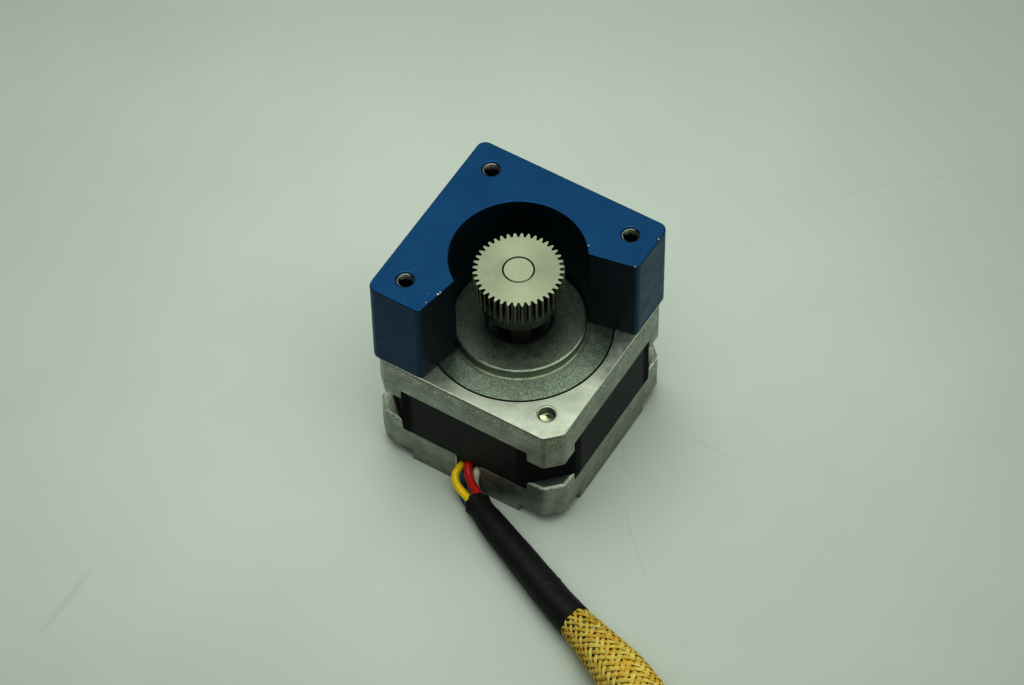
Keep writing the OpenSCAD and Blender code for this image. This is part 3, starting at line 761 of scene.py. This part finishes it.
def lead_line(start, end):
    """The lead's smooth centre line from one route point to another."""
    route = SHRINK_ROUTE[:-1] + BRAID_ROUTE + END_ROUTE[1:]
    line = spline(route, 0.2)
    first, last = (np.linalg.norm(line - p, axis=1).argmin() for p in (start, end))
    return line[first : last + 1]


YARNS = 16
BRAID_ANGLE = math.radians(51)
YARN_W = 0.72
YARN_T = 0.2


def braid_radius(line):
    """The braid's outer radius: slim under the heat shrink, then full, then drawn in at its end."""
    along = distances(line)
    hidden = np.linalg.norm(line - BRAID_ROUTE[0], axis=1).argmin()
    shown = along - along[hidden]
    start = 2.82 + 0.11 * np.clip(shown, 0, None) + 0.05 * np.clip(shown, -9, 0)
    end = 3.0 + 1.25 * np.clip((along[-1] - along) / 5, 0, 1)
    return np.minimum(np.minimum(BRAID_D / 2, start), end)


def build_braid():
    """Sixteen flat yarns each way round, every one over two and under two."""
    line = spaced(lead_line(SHRINK_ROUTE[4], END_ROUTE[1]), 0.17)
    along = distances(line)
    outer = braid_radius(line)
    mid = outer - YARN_T / 2 - 0.16
    lean = np.arcsin(np.clip(math.sin(BRAID_ANGLE) * outer / (BRAID_D / 2), 0.3, 0.95))
    turn = np.concatenate([[0], np.cumsum(np.diff(along) * np.tan(lean[1:]) / mid[1:])])
    ahead, side, up = axes_of(line)
    slack = 0.010 * np.sin(along / 9) + 0.008 * np.sin(along / 3.7 + 1)
    shape = Shape()
    # A yarn's section, in half widths and in thicknesses: rounded outside, a shallow V inside
    half = np.array([-1, -0.55, 0.0, 0.55, 1, 0.0])
    rise = np.array([0, 0.42, 0.5, 0.42, 0, -0.5])
    for way in (1, -1):
        for k in range(YARNS):
            jitter = rng.uniform(-0.03, 0.03) + 0.02 * np.sin(along / 6 + rng.uniform(0, 6.3))
            angle = 2 * math.pi * k / YARNS + way * turn + jitter
            weave = way * np.clip(1.5 * np.cos(YARNS / 2 * angle - math.pi / 4), -1, 1)
            radius = mid * (1 + slack) + 0.14 * weave
            out = np.cos(angle)[:, None] * side + np.sin(angle)[:, None] * up
            around = -np.sin(angle)[:, None] * side + np.cos(angle)[:, None] * up
            across = np.cos(lean)[:, None] * around - way * np.sin(lean)[:, None] * ahead
            centre = line + radius[:, None] * out
            width = YARN_W / 2 * np.clip(mid / 3.9, 0.72, 1) * (1 + 0.05 * np.sin(along / 2.3 + k))
            rings = (
                centre[:, None]
                + (width[:, None] * half)[:, :, None] * across[:, None]
                + (YARN_T * rise)[None, :, None] * out[:, None]
            )
            shape.loft(rings[:, ::way], width=half[::way] / 2 + 0.5)
    mesh, slot = shape.mesh("braided_sleeve"), "braid_yellow"
    piece = add_piece("braided_sleeve_piece", mesh, looks_of(slot), ["braided_sleeve"], sharp=80)
    return piece, line


def build_core():
    """The four wires on their way inside the heat shrink and the braid, loosely twisted."""
    line = spaced(lead_line(SHRINK_ROUTE[0], END_ROUTE[2]), 0.9)
    along = distances(line)
    _, side, up = axes_of(line)
    low = np.interp(along, [0, 30, 60, along[-1] - 15, along[-1]], [0, 0.2, 1.6, 1.6, 0])
    shape = Shape()
    for k in range(len(WIRES)):
        angle = along / 7 + k * math.pi / 2 + 0.3 * np.sin(along / 5)
        at = line + 1.02 * (np.cos(angle)[:, None] * side + np.sin(angle)[:, None] * up)
        at[:, 2] -= low
        shape.loft(tube_rings(at, WIRE_D / 2, 8), slot=k)
    return add_piece("lead_core", shape.mesh("lead_core"), looks_of(*WIRES), [])


# The middle of the plug's near end, and the spacing of its contacts
plug_low, plug_high = box_of("plug_housing")
PLUG_AT = (plug_low[0], (plug_low[1] + plug_high[1]) / 2, (plug_low[2] + plug_high[2]) / 2)
PLUG_PITCH = 2.54


def build_plug_wires():
    """The wires fan out of the end sleeve into the plug, each in its own colour."""
    shape = Shape()
    x, y, z = END_ROUTE[-1]
    for i in range(len(WIRES)):
        row = PLUG_AT[1] + (i - 1.5) * PLUG_PITCH
        dy, dz = (-0.9 if i < 2 else 0.9), (-0.9 if i % 2 == 0 else 0.9)
        route = [
            (x - 1.5, y + dy, z + dz), (x, y + dy, z + dz), (x + 1.5, y + dy * 1.05, z + dz),
            (x + 4.5, (y + dy + 2 * row) / 3, (z + dz + PLUG_AT[2]) / 2),
            (PLUG_AT[0] - 1.8, row, PLUG_AT[2]), (PLUG_AT[0] + 1, row, PLUG_AT[2]),
        ]
        shape.loft(tube_rings(spline(route, 0.3), WIRE_D / 2, 16), slot=i)
    mesh = shape.mesh("plug_wires")
    return add_piece("plug_wires_piece", mesh, looks_of(*WIRES), ["plug_wires"])


def build_end_sleeve():
    """A short sleeve of heat shrink that grips the braid's end and the plug wires."""
    sides = 56
    line = spline(END_ROUTE, 0.25)
    radii = radii_along(END_ROUTE, END_RADII, line)
    ripple = [(0.012, 0.5, 4, 0.2), (0.008, 1.6, 3, 1.0)]
    outer, inner = (
        tube_rings(line, r, sides, lambda s, a: wave(s, a, ripple)) for r in (radii, radii - SHRINK_WALL)
    )
    return add_shrink("end_sleeve", outer, inner)


wires = build_wires()
heat_shrink = build_heat_shrink()
braid, braid_line = build_braid()
core = build_core()
plug_wires = build_plug_wires()
end_sleeve = build_end_sleeve()


# ---- Rigid pieces with rounded edges ----


def weigh_edges(bm, width_of):
    """Gives each sharp edge its share of the widest rounding, and returns that width."""
    weight = bm.edges.layers.float.new("bevel_weight_edge")
    for e in bm.edges:
        if len(e.link_faces) == 2 and e.calc_face_angle(0) > math.radians(24):
            a, b = (Vector(v.co) / MM for v in e.verts)
            e[weight] = width_of((a + b) / 2, (b - a).normalized())
    widest = max(e[weight] for e in bm.edges)
    for e in bm.edges:
        e[weight] /= widest
    return widest


def bevelled(mesh, width):
    """A new mesh with the weighted edges rounded, where flat faces still look flat."""
    mesh.polygons.foreach_set("use_smooth", [abs(p.normal.z) < 0.999 for p in mesh.polygons])
    mesh.set_sharp_from_angle(angle=math.radians(40))
    work = bpy.data.objects.new("work", mesh)
    bpy.context.scene.collection.objects.link(work)
    bevel = work.modifiers.new("round", "BEVEL")
    bevel.limit_method = "WEIGHT"
    bevel.width = width * MM
    bevel.segments = 3
    bevel.use_clamp_overlap = False
    bevel.loop_slide = False
    weigh = work.modifiers.new("normals", "WEIGHTED_NORMAL")
    weigh.keep_sharp = True
    shown = work.evaluated_get(bpy.context.evaluated_depsgraph_get())
    made = bpy.data.meshes.new_from_object(shown)
    bpy.data.objects.remove(work)
    return made


def rounded(node, width_of, materials, slot_of=None, move=None):
    """A copy of a CAD node whose sharp edges are rounded.

    width_of(place, along) is each edge's width. slot_of(place, normal, reach) is each face's
    material, where reach is how far the face gets from the shaft's axis. move(place) is where a
    point goes."""
    bm = bmesh.new()
    bm.from_mesh(frame["nodes"][node].data)
    if move is not None:
        for v in bm.verts:
            v.co = move(v.co / MM) * MM
    bmesh.ops.remove_doubles(bm, verts=bm.verts, dist=1e-6)
    bmesh.ops.dissolve_limit(bm, angle_limit=math.radians(0.6), verts=bm.verts, edges=bm.edges)
    bm.normal_update()
    widest = weigh_edges(bm, width_of)
    if slot_of is not None:
        for f in bm.faces:
            reach = max(math.hypot(v.co.x, v.co.y) for v in f.verts) / MM
            f.material_index = slot_of(f.calc_center_median() / MM, f.normal, reach)
    mesh = bpy.data.meshes.new(node)
    bm.to_mesh(mesh)
    bm.free()
    for m in materials:
        mesh.materials.append(m)
    made = bevelled(mesh, widest)
    made.name = node
    return place_piece(node + "_piece", made, [node])


def near(value, level, reach=0.02):
    """Whether a value is within reach of a level."""
    return abs(value - level) < reach


# Beyond SIDE in x or y a place is on a side, and beyond CORNER in x plus y on a cut corner
SIDE = 17
CORNER = 32


def casting_edge(at, along, lug_end, upright, levels):
    """How wide an edge on the outside of a bell is rounded, or None elsewhere. upright is for
    upright edges at the corners. Each of levels is a height, a width, and whether corners count."""
    out, corner = max(abs(at.x), abs(at.y)), abs(at.x) + abs(at.y)
    if out <= 14.9 and corner <= 28:
        return None
    if near(at.z, lug_end):
        return 0.6 if corner < 29.6 else 0.45
    if abs(along.z) > 0.9:
        return upright if corner > CORNER else 0.25
    for level, width, corners_too in levels:
        if near(at.z, level) and (out > SIDE or corners_too and corner > CORNER):
            return width
    return None


def front_bell_edges(at, along):
    """Softly rounded where it was cast, and barely where the pilot and its recess were turned."""
    levels = ((FACE, 0.2, True), (FRONT_RIM_END, 0.15, False))
    width = casting_edge(at, along, FRONT_LUG_END, 0.5, levels)
    if width is not None:
        return width
    r = math.hypot(at.x, at.y)
    if at.z > PILOT_TOP - 0.8 and near(r, PILOT_R, 0.35):
        return 0.1
    if at.z > PILOT_TOP - 0.8 and near(r, RECESS_R, 0.3):
        return 0.05
    return 0


def rear_bell_edges(at, along):
    """Softly rounded outside, and left sharp inside."""
    levels = ((FOOT_RELIEF, 0.4, True), (REAR_BOTTOM, 0.15, False), (REAR_RIM_END, 0.15, False))
    return casting_edge(at, along, REAR_LUG_END, 0.55, levels) or 0


def block_edges(at, along):
    """Broken edges: the top's, the foot's, and the upright ones inside the block's outline."""
    if near(at.z, BLOCK_TOP):
        return 0.18
    if near(at.z, FACE):
        return 0.12
    upright = abs(along.z) > 0.9 and max(abs(at.x), abs(at.y)) < SIDE
    return 0.15 if upright else 0


def stack_edges(at, along):
    """The lamination stack's edges, apart from those next to the rotor."""
    return 0.06 if max(abs(at.x), abs(at.y)) > 11 else 0


def plug_edges(at, along):
    """The plug's outer edges are rounder than those of the openings for its contacts."""
    outside = abs(at.z - PLUG_AT[2]) > 1.4 or abs(at.y - PLUG_AT[1]) > 5
    return 0.2 if outside else 0.05


def screw_edges(at, along):
    """All of the corner screw's edges."""
    return 0.1


# The finishes of the front bell's faces, the pilot's a darker copy with painted shade, then the block's
# copies of its blue with painted light and shade, in the order of their materials
CAST, MACHINED, RING, PILOT = range(4)
BLUE, TOP, OPENING, BORE, RIGHT = range(5)


def bell_faces(at, normal, reach):
    """Which finish a face of the front bell has."""
    if normal.z > 0.9 and near(at.z, FACE, 0.05):
        return RING if reach < GROOVE_R + 0.2 else MACHINED
    # The pilot's faces take that darker copy, which is painted shade.
    return PILOT if at.z > FACE + 0.02 else CAST


def block_faces(at, normal, reach):
    """Which copy of the blue a face of the block has: lighter copies with painted light on the top and
    the right side, darker ones with painted shade in the opening and the bore.
    """
    if normal.z > 0.9 and at.z > BLOCK_TOP - 1:
        return TOP
    if reach < PILOT_R + 0.3:
        return BORE
    if normal.x > 0.9 and at.x > SIDE:
        return RIGHT
    opening = (normal.y < -0.9 and at.y > 0) or (normal.x > 0.9 and at.x < 0)
    return OPENING if opening else BLUE


THREAD_PITCH = 0.5
THREAD_R = 1.5


def open_tapped_holes(at):
    """Widens the tapping holes nearly to the thread's own radius, to take threads."""
    if at.z > TAPPED_FROM - 0.01:
        for x, y in TAPPED:
            far = math.hypot(at.x - x, at.y - y)
            if near(far, 1.25, 0.05):
                grow = (THREAD_R - 0.02) / far
                return Vector((x + (at.x - x) * grow, y + (at.y - y) * grow, at.z))
    return at


def sink_tip(at):
    """Lowers the corner screw's tip, to leave room for its last turn of thread."""
    return Vector((at.x, at.y, at.z - 0.85)) if at.z > FACE - 0.8 else at


def build_tapped_threads():
    """The threads in the block's three tapped holes."""
    angle = np.linspace(0, 2 * math.pi, 40, endpoint=False)
    heights = np.arange(BLOCK_TOP - 0.4, TAPPED_FROM + 0.05, -THREAD_PITCH / 8)
    phase = (heights[:, None] / THREAD_PITCH - angle[None, :] / (2 * math.pi)) % 1
    tooth = np.clip(2.6 * (0.5 - np.abs(phase - 0.5)) - 0.15, 0, 1)
    radius = THREAD_R - 0.04 - 0.24 * tooth
    radius = np.vstack([radius, np.full((2, len(angle)), THREAD_R)])
    heights = np.concatenate([heights, heights[-1:], heights[:1]])
    shape = Shape()
    for x, y in TAPPED:
        across = np.stack([radius * np.cos(angle), radius * np.sin(angle)], 2) + (x, y)
        up = np.broadcast_to(heights[:, None, None], (*radius.shape, 1))
        shape.loft(np.concatenate([across, up], 2), closed=True)
    mesh = shape.mesh("tapped_threads")
    add_piece("tapped_threads", mesh, looks_of("bare_thread"), [], sharp=40)


def build_screw_end():
    """The corner screw's end, where the last turn of thread runs out in a step."""
    around = np.linspace(0, 2 * math.pi, 48, endpoint=False)
    angle = around + 3.6
    drop = 0.8 * around / (2 * math.pi)
    shoulder, end = FACE - 0.6, FACE - 0.5
    steps = (
        # radius, height at the step, and how much of the drop there is over one turn
        (1.2, FACE - 1.6, 0), (1.2, shoulder, 1), (1.12, end, 1), (0.62, end, 1), (0.5, end, 0.8),
        (0.1, end, 0.5),
    )
    rings = []
    for r, z, share in steps:
        x, y = HOLE_AT + r * np.cos(angle), -HOLE_AT + r * np.sin(angle)
        rings.append(np.stack([x, y, z - share * drop], 1))
    shape = Shape()
    shape.loft(np.stack(rings))
    mesh = shape.mesh("screw_end")
    add_piece("screw_end", mesh, looks_of("worn_screw"), [], sharp=30)


def build_pinion():
    """The CAD pinion's own tooth outline, with broken edges, a chamfered bore and a turned hub."""
    outline = np.array([v.co for v in frame["nodes"]["pinion"].data.vertices]) / MM
    outline = outline[(outline[:, 2] > SHAFT_END - 0.1) & (np.hypot(outline[:, 0], outline[:, 1]) > 6)]
    angle = np.round(np.arctan2(outline[:, 1], outline[:, 0]), 6)
    _, first = np.unique(angle, return_index=True)
    angle, radius = angle[first], np.hypot(outline[first, 0], outline[first, 1])
    bore, hub, top, tip_r = 2.5, 6.2, SHAFT_END, 7.3
    steps = (
        # radius, height, and 0 for a circle or 1 for the tooth outline made that much wider
        (bore, top - 0.2, 0), (bore + 0.14, top, 0), (4.6, top, 0), (-0.05, top, 1),
        (0, top - 0.05, 1), (0, TEETH_END + 0.04, 1), (-0.04, TEETH_END, 1),
        (hub + 0.2, TEETH_END, 0), (hub + 0.06, TEETH_END - 0.06, 0), (hub, TEETH_END - 0.2, 0),
        (hub, HUB_END + 0.15, 0), (hub - 0.15, HUB_END, 0), (bore, HUB_END, 0),
    )
    rings = []
    for r, z, toothed in steps:
        at = r + toothed * radius
        rings.append(np.stack([at * np.cos(angle), at * np.sin(angle), np.full_like(angle, z)], 1))
    shape = Shape()
    shape.loft(np.stack(rings), closed=True)
    mesh = shape.mesh("pinion")
    body, face, tip = range(3)
    slots = []
    for polygon in mesh.polygons:
        at = polygon.center / MM
        at_tip = math.hypot(at.x, at.y) > tip_r
        slots.append(face if at.z > top - 0.1 else tip if at_tip else body)
    mesh.polygons.foreach_set("material_index", slots)
    looks = looks_of("pinion_steel", "pinion_face", "tooth_tip")
    return add_piece("pinion_piece", mesh, looks, ["pinion"], "rotor", 25)


finishes = looks_of("cast_aluminium", "machined_face", "ring_face", "shaded_pilot_face")
blues = looks_of("blue_anodised", "blue_top_painted_light", "blue_inside_painted_shade", "blue_bore_painted_shade", "blue_side_painted_light")
rounded("front_bell", front_bell_edges, finishes, bell_faces)
rounded("rear_bell", rear_bell_edges, looks_of("cast_aluminium"))
rounded("mounting_block", block_edges, blues, block_faces, open_tapped_holes)
build_tapped_threads()
rounded("corner_screw", screw_edges, looks_of("screw_steel"), move=sink_tip)
build_screw_end()
build_pinion()
rounded("stator_stack", stack_edges, looks_of("lamination_black"))
plug_housing = rounded("plug_housing", plug_edges, looks_of("plug_plastic"))


# ---- Table and light ----

HALF_TABLE_M = 1.6
TABLE_BELOW_M = 0.00002


def make_table():
    """A pale table with a few faint scratches, and painted shade that makes it darker away from the
    motor.
    """
    h = HALF_TABLE_M
    mesh = bpy.data.meshes.new("table")
    mesh.from_pydata([(-h, -h, 0), (h, -h, 0), (h, h, 0), (-h, h, 0)], [], [(0, 1, 2, 3)])
    table = bpy.data.objects.new("table", mesh)
    table.location.z = -TABLE_BELOW_M
    bpy.context.scene.collection.objects.link(table)
    look = Look("table", (0.6, 0.63, 0.58), 0.0, 0.5, Specular_IOR_Level=0.35)
    patch = look.noise(0.02, 5)
    colour = look.mix(look.span(patch, 0.3, 0.7), (0.553, 0.575, 0.551), (0.594, 0.616, 0.59))
    line = look.scratches((0.05, 0.9, 1), 0.25, 0.27, 12)
    line = look.math("MAXIMUM", line, look.scratches((0.8, 0.045, 1), 0.22, 0.27, 55))
    arc = look.line_at(look.vector("DISTANCE", look.place, (74, 30, 0)), 62, 0.22, 0.13)
    arc = look.times(arc, look.span(look.noise(0.09, 3, offset=21), 0.48, 0.56))
    colour = look.mix(look.times(line, 0.17), colour, (0.33, 0.36, 0.33))
    colour = look.mix(arc, colour, (0.36, 0.38, 0.35))
    # Painted shade: the table is painted darker away from the motor.
    far = look.vector("DISTANCE", look.place, (-15, 7, 0))
    painted_dimming = look.span(far, 0, 155, 0, 0.35, smooth=True)
    look.set("Base Color", look.mix(painted_dimming, colour, (0.0, 0.0, 0.0)))
    look.bump(look.noise(1.5, 3), 0.01)
    mesh.materials.append(look.material)


EXPOSURE = 0.24
GAMMA = 0.714
SKY_COLOUR = (0.92, 1.0, 0.91, 1)
LOBE_SHARPNESS = 6.0
# The azimuth and elevation in degrees, and the brightness, of each soft light
LIGHTS = (
    (0, 90, 3), (30, 60, 0.2), (240, 30, 1), (90, 5, 1.15), (150, 5, 0.5), (210, 5, 0.1),
)


def make_light():
    """A sky that glows softly round each of the lights."""
    world = bpy.data.worlds.new("studio")
    bpy.context.scene.world = world
    world.use_nodes = True
    tree = world.node_tree
    total = None
    place = tree.nodes.new("ShaderNodeTexCoord")
    for azimuth, elevation, strength in LIGHTS:
        towards = tree.nodes.new("ShaderNodeVectorMath")
        towards.operation = "DOT_PRODUCT"
        towards.inputs[1].default_value = direction(azimuth, elevation)
        tree.links.new(place.outputs["Generated"], towards.inputs[0])
        socket = towards.outputs["Value"]
        steps = (("MAXIMUM", 0.0), ("POWER", LOBE_SHARPNESS), ("MULTIPLY", strength))
        for operation, value in steps:
            node = tree.nodes.new("ShaderNodeMath")
            node.operation = operation
            tree.links.new(socket, node.inputs[0])
            node.inputs[1].default_value = value
            socket = node.outputs[0]
        if total is not None:
            node = tree.nodes.new("ShaderNodeMath")
            tree.links.new(total, node.inputs[0])
            tree.links.new(socket, node.inputs[1])
            socket = node.outputs[0]
        total = socket
    sky = tree.nodes["Background"]
    sky.inputs[0].default_value = SKY_COLOUR
    tree.links.new(total, sky.inputs[1])


def set_tones():
    """How the light that reaches the camera turns into the picture's tones."""
    view = bpy.context.scene.view_settings
    view.view_transform = "Standard"
    view.exposure = EXPOSURE
    view.gamma = GAMMA


make_table()
make_light()
set_tones()
